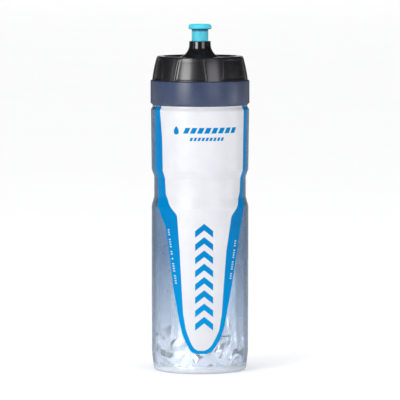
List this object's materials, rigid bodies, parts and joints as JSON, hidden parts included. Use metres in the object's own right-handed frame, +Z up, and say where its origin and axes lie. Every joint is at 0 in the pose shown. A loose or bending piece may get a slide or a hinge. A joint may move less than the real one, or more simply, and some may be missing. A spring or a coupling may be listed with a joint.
{
  "type": "insulated cycling bottle",
  "caption": "Double-walled squeeze bottle for a bicycle cage, with a reflective film between its walls, a screw cap and a push-pull valve.",
  "frame": {"origin": "centre of the base ring that the bottle stands on", "axes": "+Z up the bottle's axis, -Y out of the middle of the printed front"},
  "size_m": [0.0736, 0.0736, 0.258],
  "materials": {
    "clear_shell": "clear, glossy, soft polyethylene",
    "film": "metallised film, crinkled, bright",
    "inner_plastic": "natural translucent polyethylene",
    "smoke_plastic": "smoky blue translucent plastic, satin",
    "black_plastic": "black polypropylene, glossy",
    "white_rubber": "soft white silicone",
    "core_plastic": "natural polypropylene",
    "blue_rubber": "soft sky-blue elastomer, satin"
  },
  "bodies": {
    "bottle": {"outer_shell": "clear_shell", "foil_base": "film", "foil_sleeve": "film", "inner_bottle": "inner_plastic", "neck_collar": "smoke_plastic"},
    "gasket": {"cap_gasket": "white_rubber"},
    "cap": {"cap": "black_plastic"},
    "valve": {"valve_core": "core_plastic", "mouthpiece": "blue_rubber"}
  },
  "joints": [
    {"name": "cap_lift", "type": "slide", "parent": "bottle", "child": "gasket", "axis": [0, 0, 1], "range_m": [0, 0.018]},
    {"name": "cap_turn", "type": "hinge", "parent": "gasket", "child": "cap", "pos_m": [0, 0, 0.2165], "axis": [0, 0, 1], "range_deg": [0, 1080]},
    {"name": "valve_pull", "type": "slide", "parent": "cap", "child": "valve", "axis": [0, 0, 1], "range_m": [0, 0.0055]}
  ],
  "couplings": [
    {"joint": "cap_lift", "follows": "cap_turn", "m_per_rad": 0.00095493}
  ]
}
